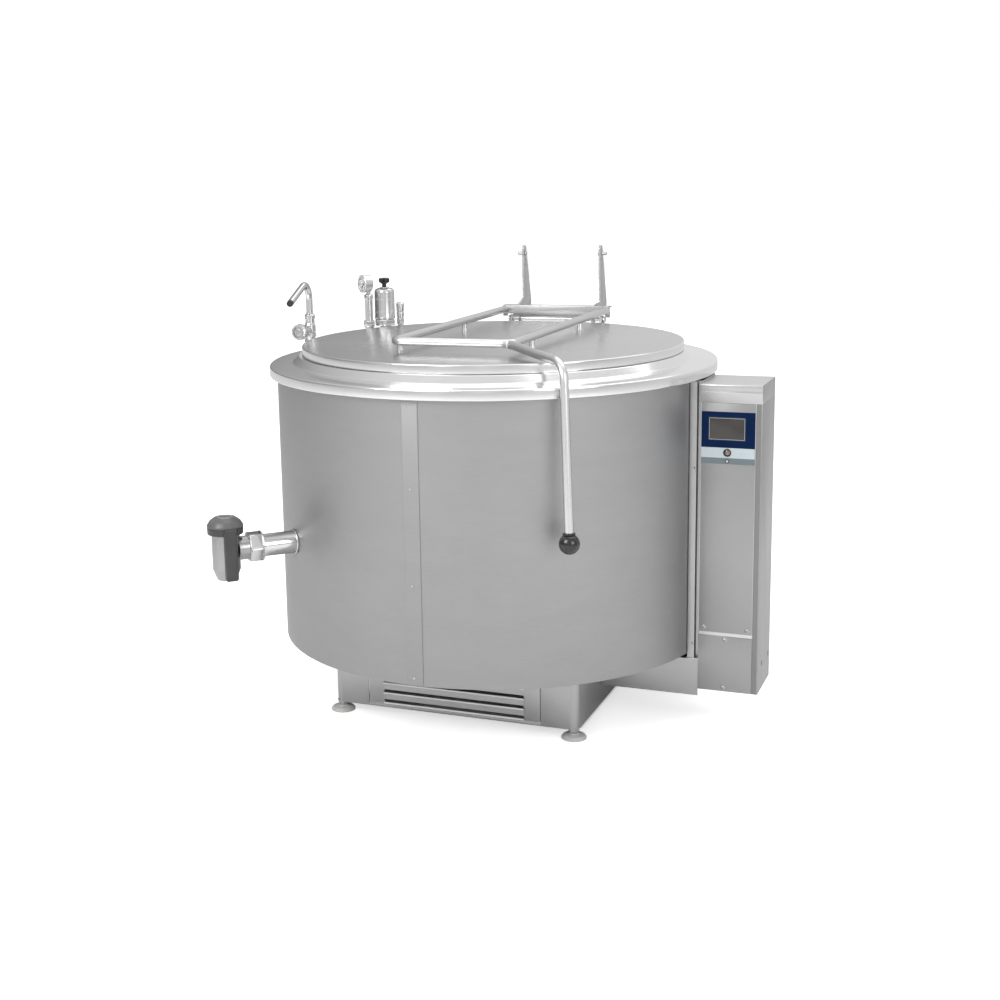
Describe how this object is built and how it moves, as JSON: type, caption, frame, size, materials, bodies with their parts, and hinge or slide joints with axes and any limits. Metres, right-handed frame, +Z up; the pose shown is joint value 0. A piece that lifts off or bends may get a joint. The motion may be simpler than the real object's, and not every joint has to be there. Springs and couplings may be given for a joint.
{
  "type": "electric cooking kettle",
  "caption": "Floor-standing round jacketed cooking kettle with a hinged lid and lever, drain valve, water tap, safety fittings and a control box on a side beam.",
  "frame": {"origin": "on the floor, under the axis of the round vessel", "axes": "+Z up along the vessel's axis, +X towards the control box, -Y towards the front louvres; metres"},
  "size_m": [1.3109, 1.255, 1.158],
  "materials": {
    "stainless_satin": "satin brushed",
    "stainless_polished": "polished",
    "chrome": "bright plated",
    "heater_alloy": "dull",
    "black_plastic": "moulded, slightly glossy",
    "seal_rubber": "silicone seal",
    "dial_white": "printed dial",
    "needle_black": "painted",
    "clear_glass": "clear",
    "fascia_blue": "printed film, navy over light and mid blue-grey",
    "display_dark": "dark screen",
    "lamp_lens": "unlit lens",
    "button_dark": "dark metal cap",
    "switchgear_grey": "moulded"
  },
  "bodies": {
    "kettle": {"plinth_frame": "stainless_satin", "louvre_panel_front": "stainless_satin", "louvre_panel_rear": "stainless_satin", "foot_front_left": "stainless_satin", "foot_front_right": "stainless_satin", "foot_rear_left": "stainless_satin", "foot_rear_right": "stainless_satin", "base_pan": "stainless_satin", "casing_left": "stainless_satin", "casing_right": "stainless_satin", "seam_strip_front": "stainless_satin", "seam_strip_rear": "stainless_satin", "rim_ring": "stainless_polished", "inner_vessel": "stainless_satin", "jacket_shell": "stainless_satin", "heater_unit": "heater_alloy", "drain_pipe": "stainless_polished", "drain_union": "stainless_polished", "drain_valve_body": "stainless_polished", "tap_column": "chrome", "tap_body": "chrome", "tap_collar": "chrome", "gauge_stem": "chrome", "gauge_case": "chrome", "gauge_dial": "dial_white", "gauge_glass": "clear_glass", "relief_valve": "chrome", "vent_valve": "chrome", "hinge_bracket_left": "stainless_satin", "hinge_bracket_right": "stainless_satin", "box_shell": "stainless_satin", "box_hood": "stainless_satin", "box_door": "stainless_satin", "box_lower_cover": "stainless_satin", "fascia_panel": "fascia_blue", "display_glass": "display_dark", "button_bezel": "chrome", "status_lamp": "lamp_lens", "box_internals": "switchgear_grey", "cable_gland": "black_plastic", "support_beam": "stainless_satin", "side_spacer": "stainless_satin"},
    "lid": {"lid_plate": "stainless_polished", "lid_gasket": "seal_rubber", "lid_frame": "stainless_polished", "lid_lever": "stainless_polished", "lever_ball": "black_plastic", "lid_crossbar": "stainless_satin", "lid_arm_left": "stainless_satin", "lid_arm_right": "stainless_satin", "lid_studs": "stainless_satin", "hinge_shaft": "stainless_satin"},
    "drain": {"drain_valve_plug": "stainless_polished", "drain_handle": "black_plastic"},
    "spout": {"tap_spout": "chrome", "tap_aerator": "black_plastic"},
    "tap_wheel": {"tap_knob": "chrome"},
    "needle": {"gauge_needle": "needle_black"},
    "relief": {"relief_knob": "black_plastic"},
    "button": {"start_button": "button_dark"}
  },
  "joints": [
    {"name": "lid_hinge", "type": "hinge", "parent": "kettle", "child": "lid", "pos_m": [0, 0.56, 0.946], "axis": [-1, 0, 0], "range_deg": [0, 85]},
    {"name": "drain_turn", "type": "hinge", "parent": "kettle", "child": "drain", "pos_m": [-0.51683, -0.53519, 0.471], "axis": [0, 0, 1], "range_deg": [-90, 0]},
    {"name": "spout_swivel", "type": "hinge", "parent": "kettle", "child": "spout", "pos_m": [-0.543, 0.025, 0.998], "axis": [0, 0, 1], "range_deg": [-60, 90]},
    {"name": "tap_turn", "type": "hinge", "parent": "kettle", "child": "tap_wheel", "pos_m": [-0.543, -0.03, 0.96], "axis": [0, -1, 0], "range_deg": [0, 540]},
    {"name": "needle_sweep", "type": "hinge", "parent": "kettle", "child": "needle", "pos_m": [-0.4725, 0.265, 1.0685], "axis": [0.606, 0.7955, 0], "range_deg": [0, 270]},
    {"name": "relief_turn", "type": "hinge", "parent": "kettle", "child": "relief", "pos_m": [-0.4425, 0.31, 1.065], "axis": [0, 0, 1], "range_deg": [0, 90]},
    {"name": "start_press", "type": "slide", "parent": "kettle", "child": "button", "axis": [0, 1, 0], "range_m": [0, 0.0025], "stiffness_N_per_m": 600, "springref_m": -0.0005}
  ]
}
